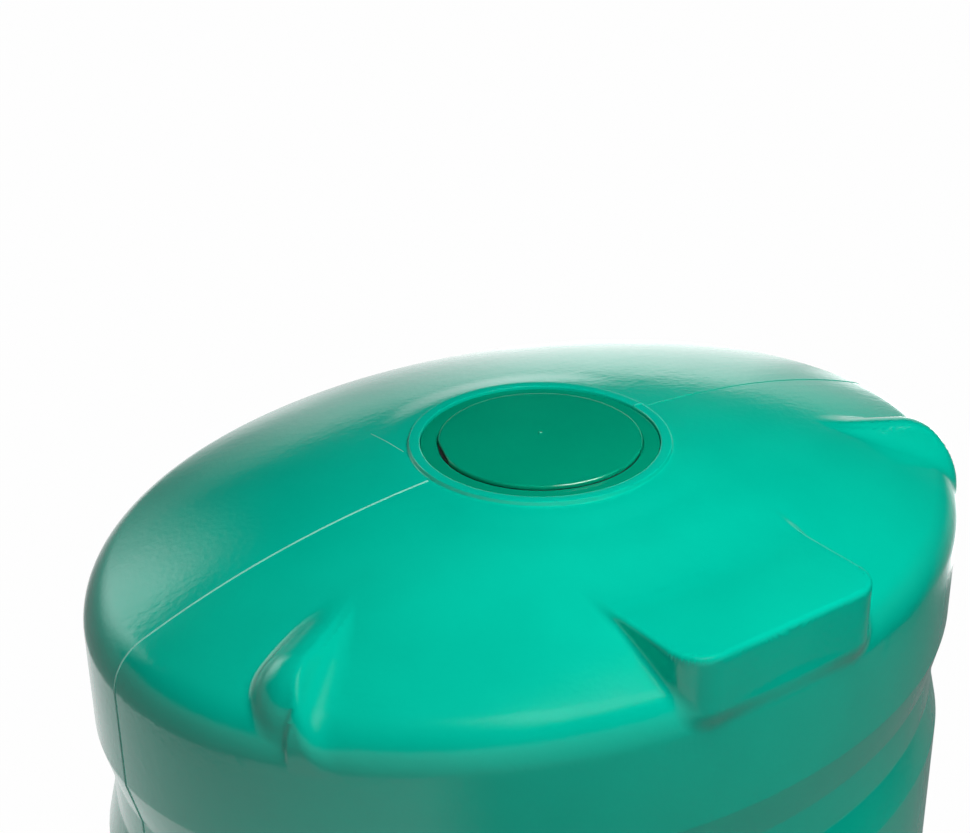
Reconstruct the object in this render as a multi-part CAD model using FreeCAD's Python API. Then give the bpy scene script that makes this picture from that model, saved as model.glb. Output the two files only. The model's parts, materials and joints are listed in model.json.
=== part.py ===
"""Above-ground rainwater tank: an oval blow-moulded shell with a crowned roof, a level inlet pad and
two lugs on its front shoulder, a round mouth with a screwed ring and a lift-out cover, and three
threaded brass sockets near the foot.

Millimetres. +Z is up, X runs along the oval's long axis and -Y is the front. The origin is the
middle of the foot, on the ground. The mould parts in the XZ plane.
"""

import FreeCAD
import Part
import math
import os
from FreeCAD import Matrix, Vector

# Shell: overall sizes
LENGTH = 952.0
WIDTH = 738.0
HEIGHT = 1550.0            # ground to the lip of the mouth
WALL = 6.0                 # moulded wall at the ends; it thins along the sides as the oval narrows

# Shell: roof
CROWN_DROP = 76.0          # fall of the crown from its middle to the edge of the plan
CROWN_POWER = 2.66         # how late the crown starts to fall: 2 is a plain dish
SHOULDER_RADIUS = 48.0
LIP_STAND = 2.0            # lip of the mouth above the middle of the crown

# Shell: wall and foot
WAIST_COUNT = 3
WAIST_DEPTH = 12.0
WAIST_HEIGHT = 140.0
WAIST_SLOPE = 48.0         # height of a waist's sloping side
WAIST_EDGE = 8.0           # straight wall between the foot and the lowest waist
WAIST_HEAD = 100.0         # straight wall between the highest waist and the shoulder
FOOT_RADIUS = 45.0
FOOT_BAND = 70.0           # flat ring that the tank stands on
FOOT_RISE = 12.0           # raised middle of the floor

# Level-topped forms on the front shoulder
PAD_FOOT = 8.0             # their lower ends above the wall's top edge, inside the shoulder
INLET_FALL = 28.0          # lip of the mouth down to the inlet pad's top
INLET_WIDTH = 234.0
INLET_CORNER = 36.0        # radius of the front corners, seen from above
INLET_EDGE = 9.0           # radius of the top edge
LUG_FALL = 31.0            # lip of the mouth down to a lug's top
LUG_TURN = 32.7            # degrees from the long axis towards the front
LUG_FRONT = 56.5           # lug's front side from the tank's middle
LUG_STAND = 2.0            # lug's nose beyond the wall
LUG_NOSE = 52.0            # radius of the nose, seen from the side
LUG_CREST = 4.0            # level strip along the top
LUG_EDGE = 12.0            # radius of the front edge
LUG_BACK = 44.0            # radius of the broad back edge

# Mouth, ring and cover
LIP_WIDTH = 11.0
NECK_DEPTH = 42.0          # lip down to the end of the neck
RING_GAP = 1.0             # ring to lip
RING_SINK = 3.0            # lip down to the top of the ring
RING_WIDTH = 16.3
RING_FLANGE = 4.0
RING_SKIRT = 3.5           # wall of the ring's skirt
SKIRT_SET = 3.3            # outside of the skirt beyond the ring's hole
RING_DEPTH = 36.0          # top of the ring down to the end of its skirt
THREAD_GAP = 1.0           # skirt to neck
COVER_RADIUS = 102.5
COVER_GAP = 1.2            # cover to ring, all round
COVER_PLATE = 4.5
COVER_CROWN = 1.5          # rise of the cover's middle
COVER_STAND = 4.0          # edge of the cover above the ring
COVER_RIM_WALL = 2.5       # downstand that centres the cover
COVER_RIM_DEPTH = 12.0
COVER_RIM_GAP = 1.0
LEDGE_WIDTH = 9.0          # ledge of the ring that carries the cover
LEDGE_PLATE = 3.0
SEAL_PLATE = 2.0
SEAL_MARGIN = 1.5
PRY_DEPTH = 2.8            # flat cut in the cover's edge, where it is lifted
PRY_TURN = 159.0           # degrees from +X to the flat

# Threaded sockets near the foot
SOCKET_PAD_RADIUS = 46.0
SOCKET_PAD_DEPTH = 22.0
SOCKET_BODY_RADIUS = 21.0
SOCKET_FLANGE_RADIUS = 29.0
SOCKET_FLANGE = 4.0
SOCKET_LENGTH = 26.0
TAP_BORE = 12.1            # core of a 3/4 inch pipe thread
LINK_BORE = 15.1           # core of a 1 inch pipe thread
PLUG_SET = 1.5             # plug's head below the face of its pad
PLUG_HEAD_RADIUS = 20.0
PLUG_SHANK = 18.0
PLUG_KEY = 12.0            # across the flats of the key recess
PLUG_KEY_DEPTH = 6.0

# Worked out from the sizes above
HALF_LENGTH = LENGTH / 2
HALF_WIDTH = WIDTH / 2
CROWN_TOP = HEIGHT - LIP_STAND
RING_INNER = COVER_RADIUS + COVER_GAP
RING_RADIUS = RING_INNER + RING_WIDTH
RECESS = RING_RADIUS + RING_GAP
LIP_RADIUS = RECESS + LIP_WIDTH
SKIRT_RADIUS = RING_INNER + SKIRT_SET
NECK_BORE = SKIRT_RADIUS + THREAD_GAP
MIDDLE = Vector(0, 0, 0)
UP = Vector(0, 0, 1)


def point(radius, height):
    return Vector(radius, 0, height)


def line(start, end):
    return Part.LineSegment(start, end).toShape()


def face_of(edges):
    return Part.Face(Part.Wire(Part.__sortEdges__(edges)))


def polygon(points):
    """Closed flat face with straight sides."""
    return Part.Face(Part.makePolygon(list(points) + [points[0]]))


def bend(centre, radius, start, stop, flats):
    """Points on an arc that is drawn as a few flats; angles in degrees from the outward direction."""
    angles = [math.radians(start + (stop - start) * step / flats) for step in range(flats + 1)]
    return [centre + point(radius * math.cos(angle), radius * math.sin(angle)) for angle in angles]


def turned(points, middle=MIDDLE, axis=UP):
    """Solid of revolution of a closed section."""
    solid = polygon([point(*each) for each in points]).revolve(MIDDLE, UP, 360)
    solid.Placement = FreeCAD.Placement(middle, FreeCAD.Rotation(UP, axis))
    return solid


def oval(section, start, span):
    """Turn a section about the middle, then narrow the round form to the oval; angles in degrees."""
    section = section.copy()
    section.rotate(MIDDLE, UP, start)
    solid = section.revolve(MIDDLE, UP, span)
    narrow = Matrix()
    narrow.scale(1, WIDTH / LENGTH, 1)
    return with_planes(solid.transformGeometry(narrow))


def with_planes(solid):
    """Narrowing leaves every face free-form; give the flat ones back their planes."""
    faces = []
    for face in solid.Faces:
        plane = face.findPlane()
        faces.append(Part.Face(plane, face.Wires) if plane else face)
    return Part.Solid(Part.Shell(faces))


def other_side(shape):
    return shape.mirror(MIDDLE, Vector(1, 0, 0))


# Roof

def crown_height(radius):
    """Height of the crown at a distance from the middle along the long axis."""
    return CROWN_TOP - CROWN_DROP * (radius / HALF_LENGTH) ** CROWN_POWER


def crown_slope(radius):
    """Fall of the crown per unit of radius."""
    share = radius / HALF_LENGTH
    return CROWN_DROP * CROWN_POWER / HALF_LENGTH * share ** (CROWN_POWER - 1)


def shoulder_start():
    """Where the crown runs into the shoulder arc: its radius, and its angle on the arc."""
    radius = HALF_LENGTH - SHOULDER_RADIUS / 2
    for _ in range(40):
        angle = math.atan2(1, crown_slope(radius))
        radius = HALF_LENGTH - SHOULDER_RADIUS * (1 - math.cos(angle))
    return radius, angle


SHOULDER_START, SHOULDER_ANGLE = shoulder_start()
WALL_TOP = crown_height(SHOULDER_START) - SHOULDER_RADIUS * math.sin(SHOULDER_ANGLE)
ROOF_HOLE = LIP_RADIUS / 2     # the sections stop here; the mouth's own hole is wider


def roof_points(inset, flats):
    """Points along the shoulder arc and the crown, from the wall's top edge inwards, drawn in by inset."""
    centre = point(HALF_LENGTH - SHOULDER_RADIUS, WALL_TOP)
    shoulder = bend(centre, SHOULDER_RADIUS - inset, 0, math.degrees(SHOULDER_ANGLE), flats)
    crown = [shoulder[-1]]
    for step in (1, 2, 3, 4):
        distance = SHOULDER_START + (ROOF_HOLE - SHOULDER_START) * step / 4
        tilt = math.atan(crown_slope(distance))
        height = crown_height(distance) - inset * math.cos(tilt)
        crown.append(point(distance - inset * math.sin(tilt), height))
    return shoulder, crown


def roof_under(corners):
    """Section between the roof's smooth outer face and a row of corners from its inner end to its foot."""
    shoulder, crown = roof_points(0, 2)
    curve = Part.BSplineCurve()
    curve.interpolate(Points=crown)
    row = [crown[-1]] + corners + [shoulder[0]]
    return face_of([Part.Arc(*shoulder).toShape(), curve.toShape()]
                   + [line(start, stop) for start, stop in zip(row, row[1:])])


def roof_section():
    shoulder, crown = roof_points(WALL, 3)
    return roof_under(crown[:0:-1] + shoulder[::-1])


def under_roof():
    """Everything below the front roof's outer face, down to the wall's top edge."""
    return oval(roof_under([point(ROOF_HOLE, WALL_TOP)]), -180, 180)


def inlet_form(inset):
    """Level pad with rounded front corners that grows out of the front of the crown, drawn in by inset."""
    half = INLET_WIDTH / 2 - inset
    front = HALF_WIDTH - inset
    low = WALL_TOP + PAD_FOOT
    top = HEIGHT - INLET_FALL - inset
    root = HALF_WIDTH / 2
    form = Part.makeBox(2 * half, front - root, top - low, Vector(-half, -front, low))
    corners = [e for e in form.Edges if e.BoundBox.ZLength > 1 and e.BoundBox.YMax < 1 - front]
    form = form.makeFillet(INLET_CORNER - inset, corners)
    rim = [e for e in form.Edges if e.BoundBox.ZMin > top - 1 and e.BoundBox.YMin < -root - 1]
    return form.makeFillet(INLET_EDGE - inset, rim)


def lug_reach():
    """Where the level strip's front edge, turned and offset from the long axis, ends beyond the wall."""
    turn = math.radians(LUG_TURN)
    along = Vector(math.cos(turn) / HALF_LENGTH, -math.sin(turn) / HALF_WIDTH, 0)
    start = Vector(math.sin(turn) / HALF_LENGTH, math.cos(turn) / HALF_WIDTH, 0) * (LUG_FRONT + LUG_EDGE)
    fall = along.dot(start) / along.dot(along)
    return math.sqrt(fall ** 2 + (1 - start.dot(start)) / along.dot(along)) - fall + LUG_STAND


def lug_form(inset):
    """Lug with a rounded nose and a broad back, grown out of the crown's right end; inset draws it in."""
    reach = lug_reach()
    end = reach - inset
    root = reach / 2
    radius = LUG_NOSE - inset
    low = WALL_TOP + PAD_FOOT
    top = HEIGHT - LUG_FALL - inset
    middle = point(end - radius, top - radius) + point(radius, radius) * math.sqrt(0.5)
    corners = [point(end, top - radius), point(end, low), point(root, low), point(root, top),
               point(end - radius, top)]
    edges = [line(start, stop) for start, stop in zip(corners, corners[1:])]
    edges.append(Part.Arc(corners[-1], middle, corners[0]).toShape())
    section = face_of(edges)
    section.translate(Vector(0, LUG_FRONT + inset, 0))
    back = LUG_FRONT + LUG_EDGE + LUG_CREST + LUG_BACK - inset
    form = section.extrude(Vector(0, back - LUG_FRONT - inset, 0))
    for side, edge in ((LUG_FRONT + inset, LUG_EDGE), (back, LUG_BACK)):
        long_edges = [e for e in form.Edges
                      if e.BoundBox.YLength < 1e-3 and abs(e.BoundBox.YMin - side) < 1e-3
                      and e.CenterOfMass.x > root + 1 and e.CenterOfMass.z > low + 1]
        form = form.makeFillet(edge - inset, long_edges)
    form.rotate(MIDDLE, UP, -LUG_TURN)
    return form


def roof_nodes():
    section = roof_section()
    mouth = Part.makeCylinder(LIP_RADIUS, 2 * CROWN_DROP, Vector(0, 0, HEIGHT - CROWN_DROP))
    body = under_roof()
    front = oval(section, -90, 90).cut(mouth).cut(inlet_form(WALL)).cut(lug_form(WALL))
    back = oval(section, 0, 90).cut(mouth)
    lug = lug_form(0).cut(lug_form(WALL)).cut(body)
    return {"roof_front_right": front, "roof_front_left": other_side(front),
            "roof_back_right": back, "roof_back_left": other_side(back),
            "inlet_pad": inlet_form(0).cut(inlet_form(WALL)).cut(body),
            "right_lug": lug, "left_lug": other_side(lug)}


# Wall and floor

WAIST_FIRST = FOOT_RADIUS + WAIST_EDGE + WAIST_HEIGHT / 2
WAIST_LAST = WALL_TOP - WAIST_HEAD - WAIST_HEIGHT / 2
WAIST_PITCH = (WAIST_LAST - WAIST_FIRST) / (WAIST_COUNT - 1)


def wall_outline(radius):
    """Corners of the wall from the foot arc up to the shoulder arc, with its waists."""
    corners = [point(radius, FOOT_RADIUS)]
    for number in range(WAIST_COUNT):
        middle = WAIST_FIRST + number * WAIST_PITCH
        for side in (-1, 1):
            edge = point(radius, middle + side * WAIST_HEIGHT / 2)
            bottom = point(radius - WAIST_DEPTH, middle + side * (WAIST_HEIGHT / 2 - WAIST_SLOPE))
            corners += [edge, bottom] if side < 0 else [bottom, edge]
    return corners + [point(radius, WALL_TOP)]


def wall_section():
    return polygon(wall_outline(HALF_LENGTH) + wall_outline(HALF_LENGTH - WALL)[::-1])


def floor_outline(inset):
    """Floor from the middle out to the upper end of the foot's bend, drawn in by inset."""
    band = HALF_LENGTH - FOOT_RADIUS - FOOT_BAND + inset * (math.sqrt(2) - 1)
    centre = point(HALF_LENGTH - FOOT_RADIUS, FOOT_RADIUS)
    corners = [point(0, FOOT_RISE + inset), point(band - FOOT_RISE, FOOT_RISE + inset), point(band, inset)]
    return corners + bend(centre, FOOT_RADIUS - inset, -90, 0, 4)


def floor():
    return oval(polygon(floor_outline(0) + floor_outline(WALL)[::-1]), 0, 360)


SOCKETS = {
    "tap": (Vector(0, -HALF_WIDTH, WAIST_FIRST), Vector(0, -1, 0), TAP_BORE),
    "right_link": (Vector(HALF_LENGTH, 0, WAIST_FIRST), Vector(1, 0, 0), LINK_BORE),
}


def pad_hole(name):
    """Round hole in the wall that a socket's pad fills."""
    middle, axis, _ = SOCKETS[name]
    return Part.makeCylinder(SOCKET_PAD_RADIUS, HALF_WIDTH, middle - axis * HALF_WIDTH / 2, axis)


def wall_nodes():
    section = wall_section()
    eighth = 45.0
    corner_front = oval(section, -1.5 * eighth, eighth)
    corner_back = oval(section, 0.5 * eighth, eighth)
    end = oval(section, -0.5 * eighth, eighth).cut(pad_hole("right_link"))
    return {"front_wall": oval(section, -2.5 * eighth, eighth).cut(pad_hole("tap")),
            "back_wall": oval(section, 1.5 * eighth, eighth),
            "right_end_wall": end, "left_end_wall": other_side(end),
            "front_right_wall": corner_front, "front_left_wall": other_side(corner_front),
            "back_right_wall": corner_back, "back_left_wall": other_side(corner_back)}


# Mouth

SEAT = HEIGHT - RING_SINK - RING_FLANGE
RING_TOP = HEIGHT - RING_SINK
COVER_TOP = RING_TOP + COVER_STAND
COVER_UNDER = COVER_TOP - COVER_PLATE
LEDGE_TOP = COVER_UNDER - SEAL_PLATE
LEDGE_INNER = RING_INNER - LEDGE_WIDTH


def mouth_rim():
    """Moulded lip, seat and neck round the mouth."""
    neck = NECK_BORE + WALL
    low = HEIGHT - NECK_DEPTH
    half = LIP_WIDTH / 2
    lip = bend(point(RECESS + half, HEIGHT - half), half, 0, 180, 6)
    return turned([(NECK_BORE, low), (neck, low), (neck, SEAT - WALL), (LIP_RADIUS, SEAT - WALL)]
                  + [(each.x, each.z) for each in lip] + [(RECESS, SEAT), (NECK_BORE, SEAT)])


def lid_ring():
    """Ring screwed into the neck; its inner ledge carries the cover."""
    skirt_inner = SKIRT_RADIUS - RING_SKIRT
    low = RING_TOP - RING_DEPTH
    ledge_low = LEDGE_TOP - LEDGE_PLATE
    return turned([(RING_INNER, RING_TOP), (RING_RADIUS, RING_TOP), (RING_RADIUS, SEAT),
                   (SKIRT_RADIUS, SEAT), (SKIRT_RADIUS, low), (skirt_inner, low),
                   (skirt_inner, ledge_low), (LEDGE_INNER, ledge_low), (LEDGE_INNER, LEDGE_TOP),
                   (RING_INNER, LEDGE_TOP)])


def lid_seal():
    """Flat gasket on the ledge."""
    inner = LEDGE_INNER + SEAL_MARGIN
    outer = RING_INNER - SEAL_MARGIN
    return turned([(inner, LEDGE_TOP), (outer, LEDGE_TOP), (outer, COVER_UNDER), (inner, COVER_UNDER)])


def lid_cover():
    """Crowned round cover with a centring rim below and a flat cut in its edge."""
    rim_outer = LEDGE_INNER - COVER_RIM_GAP
    rim_inner = rim_outer - COVER_RIM_WALL
    rim_low = COVER_UNDER - COVER_RIM_DEPTH

    def crowned(radius, height):
        """Points of the crown from the middle out to a radius."""
        steps = [radius * step / 4 for step in range(5)]
        return [(step, height + COVER_CROWN * (1 - (step / COVER_RADIUS) ** 2)) for step in steps]

    cover = turned(crowned(COVER_RADIUS, COVER_TOP)
                   + [(COVER_RADIUS, COVER_UNDER), (rim_outer, COVER_UNDER), (rim_outer, rim_low),
                      (rim_inner, rim_low)]
                   + crowned(rim_inner, COVER_UNDER)[::-1])
    flat = Part.makeBox(COVER_RADIUS, 2 * COVER_RADIUS, 2 * COVER_PLATE + COVER_CROWN,
                        Vector(COVER_RADIUS - PRY_DEPTH, -COVER_RADIUS, COVER_UNDER - COVER_PLATE))
    flat.rotate(MIDDLE, UP, PRY_TURN)
    return cover.cut(flat)


# Sockets

def socket_pad(middle, axis):
    """Moulded round pad with a flat face, flush with the widest part of the wall."""
    return turned([(SOCKET_BODY_RADIUS, -SOCKET_PAD_DEPTH), (SOCKET_PAD_RADIUS, -SOCKET_PAD_DEPTH),
                   (SOCKET_PAD_RADIUS, 0), (SOCKET_FLANGE_RADIUS, 0), (SOCKET_FLANGE_RADIUS, -SOCKET_FLANGE),
                   (SOCKET_BODY_RADIUS, -SOCKET_FLANGE)], middle, axis)


def brass_socket(middle, axis, bore, set_in):
    """Flanged bush, bored to the core of its thread; set_in sinks the bush for a plug's head."""
    points = [(bore, -SOCKET_LENGTH), (SOCKET_BODY_RADIUS, -SOCKET_LENGTH),
              (SOCKET_BODY_RADIUS, -SOCKET_FLANGE), (SOCKET_FLANGE_RADIUS, -SOCKET_FLANGE),
              (SOCKET_FLANGE_RADIUS, 0)]
    if set_in:
        points += [(PLUG_HEAD_RADIUS, 0), (PLUG_HEAD_RADIUS, -set_in), (bore, -set_in)]
    else:
        points += [(bore, 0)]
    return turned(points, middle, axis)


def blanking_plug(middle, axis, bore):
    """Plug that closes a socket, with a six-sided key recess in its head."""
    head = -PLUG_SET
    plug = turned([(0, -PLUG_SHANK), (bore, -PLUG_SHANK), (bore, -SOCKET_FLANGE),
                   (PLUG_HEAD_RADIUS, -SOCKET_FLANGE), (PLUG_HEAD_RADIUS, head), (0, head)])
    corner = PLUG_KEY / math.sqrt(3)
    corners = [Vector(corner * math.cos(k * math.pi / 3), corner * math.sin(k * math.pi / 3), head)
               for k in range(6)]
    plug = plug.cut(polygon(corners).extrude(Vector(0, 0, -PLUG_KEY_DEPTH)))
    plug.Placement = FreeCAD.Placement(middle, FreeCAD.Rotation(UP, axis))
    return plug


def socket_nodes():
    nodes = {}
    for name, (middle, axis, bore) in SOCKETS.items():
        linked = bore == LINK_BORE
        nodes[name + "_pad"] = socket_pad(middle, axis)
        nodes[name + "_socket"] = brass_socket(middle, axis, bore, SOCKET_FLANGE if linked else 0)
        if linked:
            nodes[name + "_plug"] = blanking_plug(middle, axis, bore)
    for piece in ("pad", "socket", "plug"):
        nodes["left_link_" + piece] = other_side(nodes["right_link_" + piece])
    return nodes


def main():
    os.makedirs("parts", exist_ok=True)
    nodes = {**roof_nodes(), **wall_nodes(), "floor": floor(), "mouth_rim": mouth_rim(),
             "lid_ring": lid_ring(), "lid_seal": lid_seal(), "lid_cover": lid_cover(), **socket_nodes()}
    for name, shape in nodes.items():
        shape.exportStep(os.path.join("parts", name + ".step"))
        print(f"{name:18s} solids {len(shape.Solids)} valid {shape.isValid()} {shape.Volume / 1000:.0f} cm3")


main()
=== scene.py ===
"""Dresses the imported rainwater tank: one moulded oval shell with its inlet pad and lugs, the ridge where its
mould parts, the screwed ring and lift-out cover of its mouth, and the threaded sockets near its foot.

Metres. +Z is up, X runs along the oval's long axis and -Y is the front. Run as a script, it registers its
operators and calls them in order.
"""

import json
import math

import bpy
import numpy as np
from bpy.props import FloatProperty, FloatVectorProperty, IntProperty, PointerProperty
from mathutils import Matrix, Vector

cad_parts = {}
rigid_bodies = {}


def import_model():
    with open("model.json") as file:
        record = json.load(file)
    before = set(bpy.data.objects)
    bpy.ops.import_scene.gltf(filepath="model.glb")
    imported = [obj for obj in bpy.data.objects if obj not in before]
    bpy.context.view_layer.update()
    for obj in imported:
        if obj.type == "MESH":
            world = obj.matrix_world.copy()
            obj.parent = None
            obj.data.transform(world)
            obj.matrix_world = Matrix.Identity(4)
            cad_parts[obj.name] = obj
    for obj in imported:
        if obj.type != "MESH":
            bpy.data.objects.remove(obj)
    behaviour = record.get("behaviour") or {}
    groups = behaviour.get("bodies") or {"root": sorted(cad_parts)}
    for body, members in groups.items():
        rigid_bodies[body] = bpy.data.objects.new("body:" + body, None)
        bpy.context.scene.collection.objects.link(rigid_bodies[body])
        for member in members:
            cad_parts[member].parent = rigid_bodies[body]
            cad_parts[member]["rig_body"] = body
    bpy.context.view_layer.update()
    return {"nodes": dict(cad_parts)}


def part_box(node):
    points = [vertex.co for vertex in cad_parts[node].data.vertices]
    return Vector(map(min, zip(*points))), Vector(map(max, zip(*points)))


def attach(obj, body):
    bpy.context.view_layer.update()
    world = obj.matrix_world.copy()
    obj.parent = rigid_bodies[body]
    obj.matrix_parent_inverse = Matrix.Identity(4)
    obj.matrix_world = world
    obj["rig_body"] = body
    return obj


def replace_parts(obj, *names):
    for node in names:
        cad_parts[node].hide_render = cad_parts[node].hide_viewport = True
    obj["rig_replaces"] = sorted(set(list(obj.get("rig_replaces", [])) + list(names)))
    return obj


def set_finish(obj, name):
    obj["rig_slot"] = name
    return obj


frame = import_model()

bl_info = {
    "name": "Rainwater tank",
    "version": (1, 0, 0),
    "blender": (4, 5, 0),
    "location": "View3D > Sidebar > Tank",
    "description": "Builds the visible pieces of a moulded rainwater tank round its packed frame",
    "category": "Object",
}

# Read from the frame
HALF_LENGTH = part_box("right_end_wall")[1].x
HALF_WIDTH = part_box("back_wall")[1].y
WALL_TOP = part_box("back_wall")[1].z
FOOT_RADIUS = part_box("back_wall")[0].z
LIP_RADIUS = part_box("mouth_rim")[1].x
LIP_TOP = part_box("mouth_rim")[1].z
NECK_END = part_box("mouth_rim")[0].z
RING_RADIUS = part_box("lid_ring")[1].x
RING_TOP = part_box("lid_ring")[1].z
RING_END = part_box("lid_ring")[0].z
COVER_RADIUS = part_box("lid_cover")[1].x
COVER_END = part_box("lid_cover")[0].z
COVER_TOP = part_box("lid_cover")[1].z
SEAL_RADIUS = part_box("lid_seal")[1].x
SEAL_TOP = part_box("lid_seal")[1].z
SEAL_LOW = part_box("lid_seal")[0].z
INLET_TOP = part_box("inlet_pad")[1].z
INLET_REACH = -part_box("inlet_pad")[0].y
INLET_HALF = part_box("inlet_pad")[1].x
LUG_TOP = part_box("right_lug")[1].z
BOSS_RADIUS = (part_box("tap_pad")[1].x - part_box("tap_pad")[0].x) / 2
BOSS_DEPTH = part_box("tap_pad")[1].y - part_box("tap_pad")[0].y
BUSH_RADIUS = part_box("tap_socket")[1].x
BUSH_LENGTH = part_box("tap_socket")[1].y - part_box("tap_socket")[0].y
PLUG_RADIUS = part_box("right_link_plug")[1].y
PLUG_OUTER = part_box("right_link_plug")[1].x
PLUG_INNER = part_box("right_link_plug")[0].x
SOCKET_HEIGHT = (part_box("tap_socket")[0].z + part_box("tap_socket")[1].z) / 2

VIEW_TURN = math.radians(36.98)         # picture's view from +Y towards +X

# Fits that the frame's boxes leave open
LIP_FIT = 0.0005                        # lip past its box, and its recess past the ring
FLANGE = 0.004                          # thickness of the flanges of the ring, bushes and plugs
COVER_GAP = 0.0009                      # round the cover, inside the ring
LEDGE_RADIUS = COVER_RADIUS - 0.0081    # bore of the ring's ledge under the cover
LEDGE_DEPTH = 0.003
GASKET_BORE = COVER_RADIUS - 0.0063
SPIGOT_RADIUS = COVER_RADIUS - 0.0088   # rim under the cover that keeps it in the ring
BOSS_LAP = 0.004                        # boss over the edge of its hole in the shell
BUSH_BODY = BUSH_RADIUS - 0.008         # bush behind its flange
TAP_BORE = 0.0121
LINK_BORE = 0.0151
THREAD_PITCH = 0.0018
THREAD_DEPTH = 0.0012
KEY_WIDTH = 0.012                       # across the flats of a plug's key recess
KEY_DEPTH = 0.006
SMALL_EDGE = 0.0006                     # rounding of edges that hands don't meet

ROW_STEP = 0.007                        # between the points along the crown's outline
FORM_START = 0.06                       # how far the pad and lugs are sunk before they are raised
FORM_MARGIN = 0.028                     # roof round the pad and lugs that is drawn finer

SHELL_NODES = [name for name in frame["nodes"]
               if name.endswith("_wall") or name.startswith("roof_") or name.endswith("_lug")
               or name in ("inlet_pad", "floor", "mouth_rim")]
SOCKETS = {"tap": (Vector((0, -HALF_WIDTH, SOCKET_HEIGHT)), Vector((0, -1, 0))),
           "right_link": (Vector((HALF_LENGTH, 0, SOCKET_HEIGHT)), Vector((1, 0, 0))),
           "left_link": (Vector((-HALF_LENGTH, 0, SOCKET_HEIGHT)), Vector((-1, 0, 0)))}


def length(name, description, default):
    return FloatProperty(name=name, description=description, default=default, unit="LENGTH", precision=4)


def paint(name, description, default):
    return FloatVectorProperty(name=name, description=description, default=default, subtype="COLOR",
                               size=3, min=0, max=1)


class TankSizes(bpy.types.PropertyGroup):
    """Sizes of the shell that the frame's boxes don't give."""
    wall: length("Wall", "Thickness of the moulded wall", 0.006)
    crown_drop: length("Crown drop", "Fall of the crown from its middle to the edge of the plan", 0.076)
    crown_power: FloatProperty(name="Crown power", description="How late the crown starts to fall",
                               default=2.66)
    lip_stand: length("Lip stand", "Lip of the mouth above the middle of the crown", 0.002)
    shoulder: length("Shoulder", "Radius of the shoulder", 0.048)
    waist_count: IntProperty(name="Waists", description="Stiffening waists round the wall", default=3, min=2)
    waist_depth: length("Waist depth", "How far a waist is drawn in", 0.012)
    waist_height: length("Waist height", "Height of a waist", 0.140)
    waist_slope: length("Waist slope", "Height of a waist's sloping side", 0.048)
    waist_edge: length("Waist edge", "Straight wall between the foot and the lowest waist", 0.008)
    waist_head: length("Waist head", "Straight wall between the highest waist and the shoulder", 0.100)
    waist_round: length("Waist rounding", "Radius of a waist's corners", 0.016)
    foot_band: length("Foot band", "Flat ring that the tank stands on", 0.070)
    foot_rise: length("Foot rise", "Raised middle of the floor", 0.012)
    lip_flank: length("Lip flank", "How far out the lip's soft outer side reaches", 0.003)
    neck_bore: length("Neck bore", "Radius of the neck", 0.108)
    lug_turn: FloatProperty(name="Lug turn", description="Lug from the long axis towards the front",
                            default=math.radians(32.7), subtype="ANGLE")
    lug_front: length("Lug front", "Top of the lug's front side from the tank's middle", 0.064)
    lug_slant: FloatProperty(name="Lug slant", description="Slope of the lug's front side",
                             default=math.radians(70), subtype="ANGLE")
    lug_reach: length("Lug reach", "Tank's middle to the lug's nose", 0.4406)
    lug_crest: length("Lug crest", "Level strip along the lug's top", 0.001)
    lug_nose: length("Lug nose", "Radius of the lug's nose, seen from the side", 0.052)
    lug_edge: length("Lug edge", "Radius of the lug's front edge", 0.006)
    lug_back: length("Lug back", "Radius of the lug's broad back edge", 0.044)
    lug_blend: length("Lug blend", "How widely a lug's front runs into the roof", 0.022)
    lug_tail: length("Lug tail", "How widely a lug's crest and back run into the roof", 0.005)
    inlet_corner: length("Inlet corner", "Radius of the inlet pad's front corners, seen from above", 0.036)
    inlet_sink: length("Inlet sink", "How far the inlet pad's top has sunk in cooling", 0.0015)
    inlet_edge: length("Inlet edge", "Radius of the inlet pad's top edge", 0.005)
    inlet_blend: length("Inlet blend", "How widely the inlet pad runs into the roof", 0.009)
    ridge: length("Parting ridge", "Radius of the ridge where the mould parts", 0.0009)
    columns: IntProperty(name="Columns", description="Points round the shell", default=200, min=64)


class TankColours(bpy.types.PropertyGroup):
    """Colours of the finishes, as seen in plain light."""
    shell: paint("Shell", "Moulded shell", (0.0, 0.600, 0.420))
    # Pale tone of the ridge's left half: a painted highlight, not a colour of the plastic
    ridge: paint("Ridge", "Ridge where the mould parts", (0.28, 0.76, 0.62))
    lid: paint("Lid", "Ring and cover", (0.0, 0.345, 0.198))
    rubber: paint("Rubber", "Gasket under the cover", (0.020, 0.020, 0.021))
    brass: paint("Brass", "Threaded sockets", (0.720, 0.530, 0.240))
    plug: paint("Plug", "Blanking plugs", (0.030, 0.031, 0.033))
    ground: paint("Ground", "Floor of the picture", (0.86, 0.86, 0.86))


def sizes():
    return bpy.context.scene.tank_sizes


def colours():
    return bpy.context.scene.tank_colours


# Outlines

def crown_height(radius):
    """Height of the crown at a distance from the middle along the long axis."""
    size = sizes()
    return LIP_TOP - size.lip_stand - size.crown_drop * (radius / HALF_LENGTH) ** size.crown_power


def crown_slope(radius):
    """Fall of the crown per unit of radius."""
    size = sizes()
    return size.crown_drop * size.crown_power / HALF_LENGTH * (radius / HALF_LENGTH) ** (size.crown_power - 1)


def shoulder_start():
    """Where the crown runs into the shoulder arc: its radius, and its angle on the arc in degrees."""
    bend = sizes().shoulder
    radius = HALF_LENGTH - bend / 2
    for _ in range(40):
        angle = math.atan2(1, crown_slope(radius))
        radius = HALF_LENGTH - bend * (1 - math.cos(angle))
    return radius, math.degrees(angle)


def arc(centre, radius, start, stop, count):
    """Points on an arc of an outline; angles in degrees from the outward direction."""
    turns = np.radians(np.linspace(start, stop, count + 1))
    return [(centre[0] + radius * math.cos(turn), centre[1] + radius * math.sin(turn)) for turn in turns]


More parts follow.
